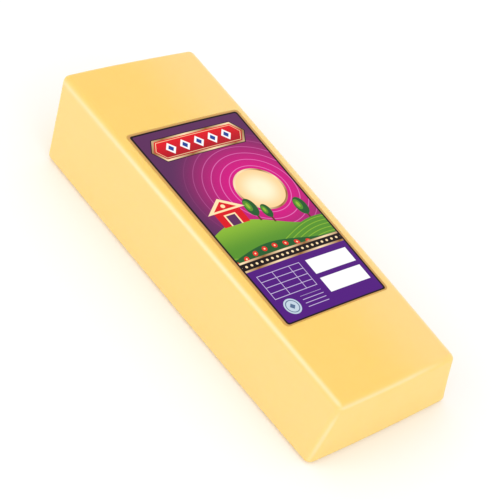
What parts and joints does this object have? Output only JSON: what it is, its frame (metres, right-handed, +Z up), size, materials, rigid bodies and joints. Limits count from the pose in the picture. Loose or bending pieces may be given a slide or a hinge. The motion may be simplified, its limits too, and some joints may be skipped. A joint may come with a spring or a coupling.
{
  "type": "cheddar block",
  "caption": "Long flat block of pale yellow cheddar with soft edges and a printed label stuck on its top, for slicing in a kitchen or at a counter.",
  "frame": {"origin": "middle of the block's plan, on the surface it rests on", "axes": "+X along the length, towards the lower end; +Y across the width, towards the lower side; +Z up out of the labelled top"},
  "size_m": [0.3262, 0.1334, 0.0697],
  "materials": {
    "cheese": "smooth satin, slightly waxy, as cheese under a tight clear wrap",
    "label_print": "gloss printed film in purple, magenta, red and cream with a gold edge"
  },
  "bodies": {
    "root": {"cheese_block": "cheese", "label": "label_print"}
  },
  "joints": []
}
